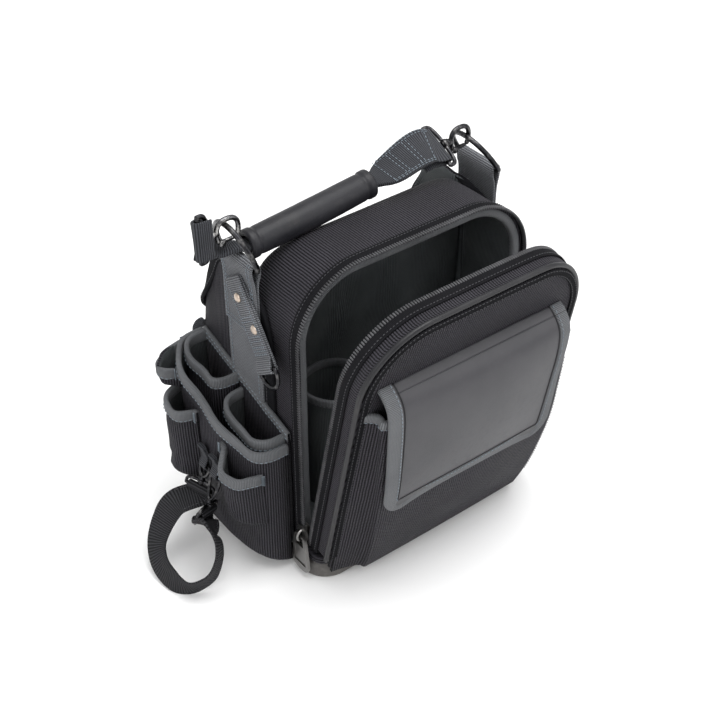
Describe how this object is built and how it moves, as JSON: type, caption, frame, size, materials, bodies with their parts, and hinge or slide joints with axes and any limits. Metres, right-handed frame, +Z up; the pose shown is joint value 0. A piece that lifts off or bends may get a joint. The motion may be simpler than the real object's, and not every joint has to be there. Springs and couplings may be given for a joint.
{
  "type": "zippered tool bag",
  "caption": "Upright soft tool bag standing open at its zipped front door, with flap pocket, side pouches, rear compartment, ringed carrying handle and moulded base.",
  "frame": {"origin": "middle of the flat underside of the moulded base, on the ground", "axes": "+Z up, the zipped door faces -Y, +X to the right as seen from the front; the side pouches are on -X"},
  "size_m": [0.3919, 0.2672, 0.3609],
  "materials": {
    "ballistic": "coarse woven nylon, matte",
    "webbing": "woven grey webbing and binding, matte",
    "panel": "smooth coated sheet, satin",
    "lining": "quilted lining, matte",
    "base": "moulded, fine grain",
    "rubber": "moulded, satin",
    "black_metal": "black plated, semi-gloss",
    "zip_metal": "dark nickel, worn satin",
    "zipper": "black nylon tape and coil, matte"
  },
  "bodies": {
    "bag": {"base_tray": "base", "floor_panel": "ballistic", "front_case": "ballistic", "rear_compartment": "ballistic", "rim_binding": "webbing", "zip_tape_case": "zipper", "inner_pocket_left": "lining", "inner_pocket_right": "lining", "side_pocket_panel": "ballistic", "pocket_inner_back": "ballistic", "pocket_inner_front": "ballistic", "pocket_outer": "ballistic", "pocket_small_corner": "ballistic", "pocket_small_back": "ballistic", "pocket_small_front": "ballistic", "ear_strap_left": "webbing", "ear_strap_right": "webbing", "corner_tab": "webbing", "tape_tab_back": "webbing", "tape_tab_front": "webbing"},
    "door": {"door_shell": "ballistic", "zip_tape_door": "zipper", "front_pocket": "ballistic"},
    "flap_top": {"flap_top": "panel"},
    "flap_front": {"flap_front": "panel"},
    "slider": {"zip_slider": "zip_metal"},
    "pull": {"pull_tab": "zip_metal"},
    "handle": {"grip": "rubber", "handle_webbing": "webbing", "swivel_loop_left": "black_metal", "swivel_loop_right": "black_metal"},
    "hook_left": {"snap_hook_left": "black_metal"},
    "gate_left": {"hook_gate_left": "black_metal"},
    "hook_right": {"snap_hook_right": "black_metal"},
    "gate_right": {"hook_gate_right": "black_metal"},
    "ring_left": {"ring_left": "black_metal"},
    "ring_right": {"ring_right": "black_metal"},
    "tab_ring": {"tab_ring": "black_metal"},
    "tape_hanger": {"tape_hook_back": "black_metal", "tape_hook_front": "black_metal", "tape_loop_back": "black_metal", "tape_loop_front": "black_metal", "tape_strap": "zipper"}
  },
  "joints": [
    {"name": "door_hinge", "type": "hinge", "parent": "bag", "child": "door", "pos_m": [0, -0.096, 0.02], "axis": [1, 0, 0], "range_deg": [-12.5, 67.5]},
    {"name": "flap_lift", "type": "hinge", "parent": "door", "child": "flap_top", "pos_m": [0, -0.14357, 0.26091], "axis": [-1, 0, 0], "range_deg": [0, 80]},
    {"name": "flap_fold", "type": "hinge", "parent": "flap_top", "child": "flap_front", "pos_m": [0, -0.17711, 0.25348], "axis": [-1, 0, 0], "range_deg": [0, 100]},
    {"name": "zip_slide", "type": "slide", "parent": "bag", "child": "slider", "axis": [0, 0, 1], "range_m": [0, 0.19]},
    {"name": "pull_swing", "type": "hinge", "parent": "slider", "child": "pull", "pos_m": [-0.13457, -0.063, 0.05], "axis": [0, 1, 0], "range_deg": [0, 150]},
    {"name": "handle_swing", "type": "hinge", "parent": "bag", "child": "handle", "pos_m": [0, 0.013, 0.3476], "axis": [1, 0, 0], "range_deg": [-35, 35]},
    {"name": "hook_left_swivel", "type": "hinge", "parent": "handle", "child": "hook_left", "pos_m": [-0.14326, 0.013, 0.3476], "axis": [1, 0, 0], "range_deg": [-35, 35]},
    {"name": "hook_right_swivel", "type": "hinge", "parent": "handle", "child": "hook_right", "pos_m": [0.10883, 0.013, 0.3476], "axis": [1, 0, 0], "range_deg": [-35, 35]},
    {"name": "gate_left_opening", "type": "hinge", "parent": "hook_left", "child": "gate_left", "pos_m": [-0.15026, 0.013, 0.3382], "axis": [0, -1, 0], "range_deg": [0, 20], "stiffness_Nm_per_rad": 0.01, "springref_deg": -20.05},
    {"name": "gate_right_opening", "type": "hinge", "parent": "hook_right", "child": "gate_right", "pos_m": [0.10183, 0.013, 0.3382], "axis": [0, -1, 0], "range_deg": [0, 20], "stiffness_Nm_per_rad": 0.01, "springref_deg": -20.05},
    {"name": "ring_left_play", "type": "hinge", "parent": "bag", "child": "ring_left", "pos_m": [-0.1338, 0.013, 0.317], "axis": [0, 1, 0], "range_deg": [-4, 4]},
    {"name": "ring_right_play", "type": "hinge", "parent": "bag", "child": "ring_right", "pos_m": [0.1338, 0.013, 0.317], "axis": [0, 1, 0], "range_deg": [-4, 0]},
    {"name": "tab_ring_swing", "type": "hinge", "parent": "bag", "child": "tab_ring", "pos_m": [-0.1408, -0.032, 0.229], "axis": [0, 0.8192, -0.5736], "range_deg": [0, 150]},
    {"name": "tape_hang", "type": "hinge", "parent": "bag", "child": "tape_hanger", "pos_m": [-0.1775, 0.0154, 0.099], "axis": [0, 1, 0], "range_deg": [0, 100]}
  ],
  "couplings": [
    {"joint": "hook_left_swivel", "follows": "handle_swing", "ratio": -1},
    {"joint": "hook_right_swivel", "follows": "handle_swing", "ratio": -1}
  ]
}
